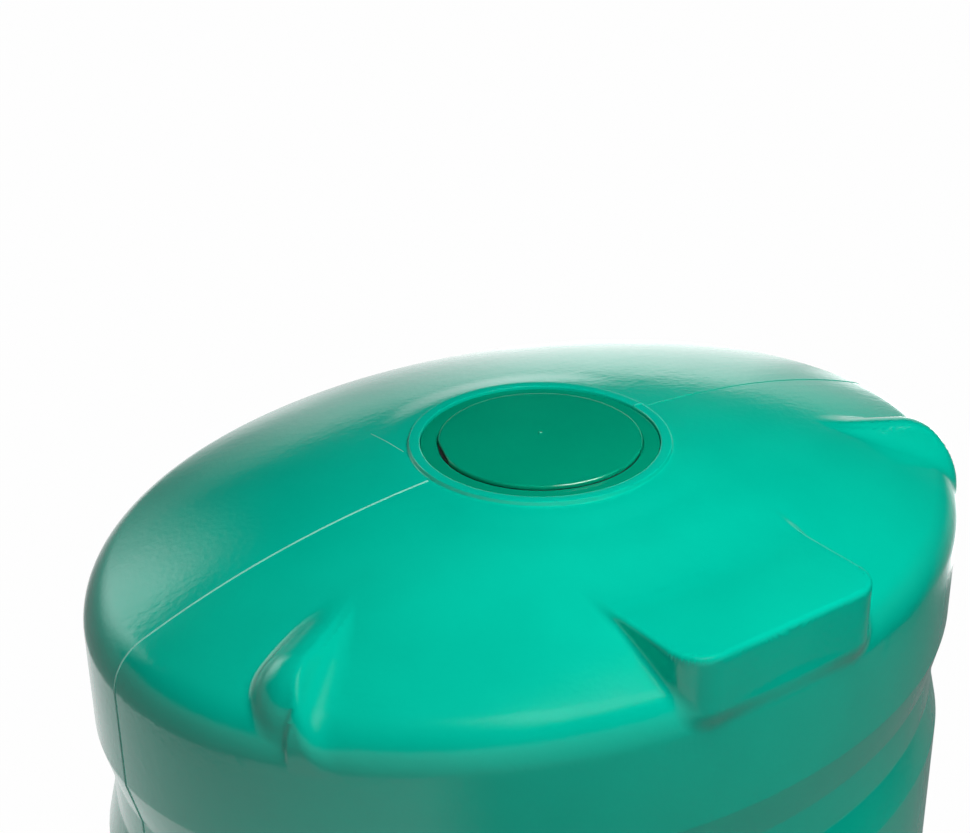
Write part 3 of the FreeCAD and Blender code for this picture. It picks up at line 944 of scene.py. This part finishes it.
class TANK_OT_bushes(bpy.types.Operator):
    """Turn the flanged brass sockets with their pipe threads"""
    bl_idname = "tank.bushes"
    bl_label = "Brass sockets"

    def execute(self, context):
        for name, (place, axis) in SOCKETS.items():
            bore = TAP_BORE if name == "tap" else LINK_BORE
            root = bore + THREAD_DEPTH
            mouth = [(root, -0.0015, 0), (root + 0.0016, 0, 0.0002)]
            if name != "tap":
                mouth = [(root, -FLANGE - 0.0015, 0), (root + 0.0014, -FLANGE, 0), (PLUG_RADIUS, -FLANGE, 0),
                         (PLUG_RADIUS, 0, 0.0004)]
            outline = eased(mouth + [(BUSH_RADIUS, 0, 0.0008), (BUSH_RADIUS, -FLANGE, 0.0003),
                                     (BUSH_BODY, -FLANGE, 0.0003), (BUSH_BODY, -BUSH_LENGTH, 0.0008),
                                     (root, -BUSH_LENGTH, 0.0005), mouth[0]], 3)
            bush = spin_outline(outline, 96)
            thread = bush_thread(bore, BUSH_LENGTH)
            only(bush)
            thread.select_set(True)
            bpy.ops.object.join()
            stand_in_wall(bush, place, axis)
            hand_over(bush, name + "_bush", "tank", "socket_brass", turned_brass(), [name + "_socket"])
        return {"FINISHED"}


class TANK_OT_stoppers(bpy.types.Operator):
    """Make the blanking plugs of the link sockets, with their six-sided key recesses"""
    bl_idname = "tank.stoppers"
    bl_label = "Blanking plugs"

    def execute(self, context):
        head = PLUG_OUTER - HALF_LENGTH
        tail = PLUG_INNER - HALF_LENGTH
        outline = eased([(0, head, 0), (PLUG_RADIUS, head, 0.0008), (PLUG_RADIUS, -FLANGE, 0.0002),
                         (LINK_BORE, -FLANGE, 0), (LINK_BORE, tail, 0.001), (0, tail, 0)], 3)
        finish = plastic("plug_plastic_finish", colours().plug, 0.5, 0.0003)
        for name in ("right_link", "left_link"):
            plug = spin_outline(outline, 96)
            start_with(bpy.ops.mesh.primitive_circle_add, vertices=6, radius=KEY_WIDTH / math.sqrt(3),
                       fill_type="NGON", location=(0, 0, head - KEY_DEPTH))
            bpy.ops.mesh.extrude_region_move(TRANSFORM_OT_translate={"value": (0, 0, 0.01)})
            bpy.ops.mesh.select_all(action="SELECT")
            bpy.ops.mesh.normals_make_consistent(inside=False)
            bpy.ops.object.mode_set(mode="OBJECT")
            key = context.object
            apply_modifier(plug, "BOOLEAN", operation="DIFFERENCE", object=key)
            bpy.data.objects.remove(key)
            stand_in_wall(plug, *SOCKETS[name])
            hand_over(plug, name + "_stopper", "tank", "plug_plastic", finish, [name + "_plug"])
        return {"FINISHED"}


# The stage

def heading(turn, rise):
    """Direction at a turn from +Y towards +X and a rise above the level."""
    return Vector((math.sin(turn) * math.cos(rise), math.cos(turn) * math.cos(rise), math.sin(rise)))


def place_towards(target, offset, data):
    """A lamp or camera, put at an offset from its target and turned to face it."""
    holder = bpy.data.objects.new(data.name, data)
    holder.location = target + offset
    holder.rotation_euler = (-offset).to_track_quat("-Z", "Y").to_euler()
    bpy.context.scene.collection.objects.link(holder)
    return holder


class TANK_OT_stage(bpy.types.Operator):
    """Lay the pale floor, light it softly and set the camera at the picture's view"""
    bl_idname = "tank.stage"
    bl_label = "Stage"

    # Levels round the gloss card, at degrees from the picture's depth towards its right
    BACK_BAND = ((-180, 0.26), (-60, 0.20), (-38, 0.18), (-30, 0.10), (-24, 0.22), (-18, 0.42), (-13, 0.44),
                 (-8, 0.62), (-2, 0.90), (3, 1.0), (8, 0.95), (14, 0.80), (17, 0.48), (30, 0.16), (42, 0.0),
                 (110, 0.0), (180, 0.26))
    LOW_BAND = ((-180, 0.0), (-48, 0.0), (-38, 0.25), (-30, 0.55), (-20, 0.3), (-10, 0.0), (17, 0.0),
                (21, 1.6), (26, 1.7), (36, 1.0), (46, 0.3), (56, 0.1), (66, 0.0), (180, 0.0))
    LEFT_BOX = ((-180, 0.0), (-80, 0.0), (-62, 0.9), (-52, 1.0), (-45, 0.85), (-41, 0.56), (-37, 0.24),
                (-33, 0.05), (-29, 0.0), (180, 0.0))

    def execute(self, context):
        self.floor()
        self.world()
        self.card()
        self.lamps()
        self.camera()
        context.scene.view_settings.view_transform = "Standard"
        return {"FINISHED"}

    def shown(self, tree):
        """One where the camera sees a surface outright or through another."""
        seen = add_node(tree, "ShaderNodeLightPath").outputs
        return math_node(tree, "MAXIMUM", seen["Is Camera Ray"], seen["Is Transmission Ray"])

    def floor(self):
        """A pale floor: painted shade near the tank over its real shadow, white further out, and dark to gloss
        at the right.
        """
        bpy.ops.object.select_all(action="DESELECT")
        bpy.ops.mesh.primitive_circle_add(vertices=96, radius=14, fill_type="NGON")
        ground = bpy.context.object
        ground.name = "ground"
        material, tree, shader = new_material("ground_finish")
        shader.inputs["Base Color"].default_value = (*colours().ground, 1)
        shader.inputs["Roughness"].default_value = 0.9
        place = object_place(tree)
        away = add_node(tree, "ShaderNodeVectorMath", {0: place}, operation="LENGTH").outputs["Value"]
        # Less glow near the tank lets the floor's lit colour through: painted shade there, with the lamps'
        # real shadow in it
        white = map_range(tree, away, 0.5, 1.05, 0.78, 0.99, "SMOOTHSTEP")
        gloss = map_range(tree, view_axes(tree, place)["X"], -0.3, 0.5, 0.99, 0.1, "SMOOTHSTEP")
        glossy = add_node(tree, "ShaderNodeLightPath").outputs["Is Glossy Ray"]
        seen = math_node(tree, "MULTIPLY", self.shown(tree), white)
        share = math_node(tree, "MULTIPLY_ADD", glossy, gloss, seen)
        glow = add_node(tree, "ShaderNodeEmission", {"Strength": 1.0}).outputs["Emission"]
        mixed = add_node(tree, "ShaderNodeMixShader", {0: share, 1: shader.outputs["BSDF"], 2: glow})
        tree.links.new(mixed.outputs["Shader"], tree.nodes["Material Output"].inputs["Surface"])
        ground.data.materials.append(material)

    def world(self):
        """A room that is pale round the horizon, dark overhead, and plain white where the camera sees it."""
        world = bpy.data.worlds.new("soft_room")
        world.use_nodes = True
        bpy.context.scene.world = world
        tree = world.node_tree
        way = add_node(tree, "ShaderNodeTexCoord").outputs["Generated"]
        rise = add_node(tree, "ShaderNodeSeparateXYZ", {0: way}).outputs["Z"]
        pale = map_range(tree, rise, 0.18, 0.34, 0.6, 0.015, "SMOOTHSTEP")
        room = tree.nodes["Background"]
        room.inputs["Color"].default_value = (1, 1, 1, 1)
        tree.links.new(math_node(tree, "MAXIMUM", pale, self.shown(tree)), room.inputs["Strength"])

    def card(self):
        """A round card that only the gloss sees: bright behind the tank, with a soft box at the left."""
        start_with(bpy.ops.mesh.primitive_circle_add, vertices=96, radius=2.6, location=(0, 0, 0))
        bpy.ops.mesh.extrude_edges_move(TRANSFORM_OT_translate={"value": (0, 0, LIP_TOP + 2.7)})
        bpy.ops.object.mode_set(mode="OBJECT")
        card = bpy.context.object
        card.name = "gloss_card"
        material, tree, _ = new_material("gloss_card_finish")
        axes = view_axes(tree, object_place(tree))
        angle = math_node(tree, "ARCTAN2", axes["X"], axes["Y"])
        share = map_range(tree, angle, -math.pi, math.pi)

        def levels(stops):
            ramp = add_node(tree, "ShaderNodeValToRGB", {"Fac": share})
            marks = ramp.color_ramp.elements
            for end, (_, level) in ((marks[0], stops[0]), (marks[1], stops[-1])):
                end.color = (level, level, level, 1)
            for degrees, level in stops[1:-1]:
                marks.new((degrees + 180) / 360).color = (level, level, level, 1)
            return ramp.outputs["Color"]

        def fading(full, none, level):
            return map_range(tree, axes["Z"], LIP_TOP + full, LIP_TOP + none, level, 0.0, "SMOOTHSTEP")

        back = math_node(tree, "MULTIPLY", levels(self.BACK_BAND), fading(0.46, 0.70, 1.9))
        low = math_node(tree, "MULTIPLY", levels(self.LOW_BAND), fading(-0.50, -0.05, 1.6))
        tall = math_node(tree, "MULTIPLY", fading(1.0, 0.10, 1.0), fading(1.55, 1.90, 2.5))
        left = math_node(tree, "MULTIPLY", levels(self.LEFT_BOX), tall)
        strength = math_node(tree, "ADD", math_node(tree, "ADD", back, low), left)
        glow = add_node(tree, "ShaderNodeEmission", {"Strength": strength})
        tree.links.new(glow.outputs["Emission"], tree.nodes["Material Output"].inputs["Surface"])
        card.data.materials.append(material)
        card.visible_camera = False
        card.visible_diffuse = False
        card.visible_transmission = False
        card.visible_shadow = False

    def lamps(self):
        """A soft key by the camera's right, a glint on the cover alone, and low fills for the wall."""
        roof, wall = Vector((0, 0, LIP_TOP - 0.05)), Vector((0, 0, 0.45))
        key = self.lamp("key", roof, turn=142.5, rise=57, away=1.25, size=0.7, energy=14.3)
        key.visible_glossy = False
        glint = self.lamp("glint", roof, turn=120, rise=55, away=1.45, size=0.9, energy=150.0)
        glint.visible_diffuse = False
        glint.light_linking.receiver_collection = bpy.data.collections.new("under_the_glint")
        glint.light_linking.receiver_collection.objects.link(bpy.data.objects["lift_cover"])
        for number, turn in enumerate((-125, 10, 130)):
            fill = self.lamp(f"fill_{number}", wall, turn=turn, rise=0, away=2.2, size=1.0, energy=1.2)
            fill.data.spread = math.radians(50)
            fill.visible_glossy = False

    def lamp(self, name, target, turn, rise, away, size, energy):
        """A square lamp that shines on a target; its turn is from the picture's depth towards its right."""
        way = heading(math.radians(turn) + VIEW_TURN, math.radians(rise))
        data = bpy.data.lights.new(name, "AREA")
        data.energy = energy
        data.size = size
        return place_towards(target, way * away, data)

    def camera(self):
        """The picture's view, fitted to the tank's outline in it."""
        data = bpy.data.cameras.new("picture")
        data.sensor_width = 36.0
        data.lens = 71.1
        data.shift_x = -0.0570
        data.shift_y = 0.0222
        back = heading(VIEW_TURN + math.pi, math.radians(27.13)) * 1.916
        bpy.context.scene.camera = place_towards(Vector((0, 0, LIP_TOP)), back, data)


STEPS = (TANK_OT_shell, TANK_OT_parting_ridge, TANK_OT_screw_ring, TANK_OT_gasket, TANK_OT_cover,
         TANK_OT_bosses, TANK_OT_bushes, TANK_OT_stoppers, TANK_OT_stage)


class TANK_PT_build(bpy.types.Panel):
    """Lists the steps that build the tank"""
    bl_idname = "TANK_PT_build"
    bl_label = "Rainwater tank"
    bl_space_type = "VIEW_3D"
    bl_region_type = "UI"
    bl_category = "Tank"

    def draw(self, context):
        for step in STEPS:
            self.layout.operator(step.bl_idname)
        for group in (context.scene.tank_sizes, context.scene.tank_colours):
            for name in group.__annotations__:
                self.layout.prop(group, name)


CLASSES = (TankSizes, TankColours, *STEPS, TANK_PT_build)


def register():
    for each in CLASSES:
        bpy.utils.register_class(each)
    bpy.types.Scene.tank_sizes = PointerProperty(type=TankSizes)
    bpy.types.Scene.tank_colours = PointerProperty(type=TankColours)


def unregister():
    del bpy.types.Scene.tank_colours
    del bpy.types.Scene.tank_sizes
    for each in reversed(CLASSES):
        bpy.utils.unregister_class(each)


def main():
    register()
    for step in STEPS:
        group, name = step.bl_idname.split(".")
        getattr(getattr(bpy.ops, group), name)()


if __name__ == "__main__":
    main()
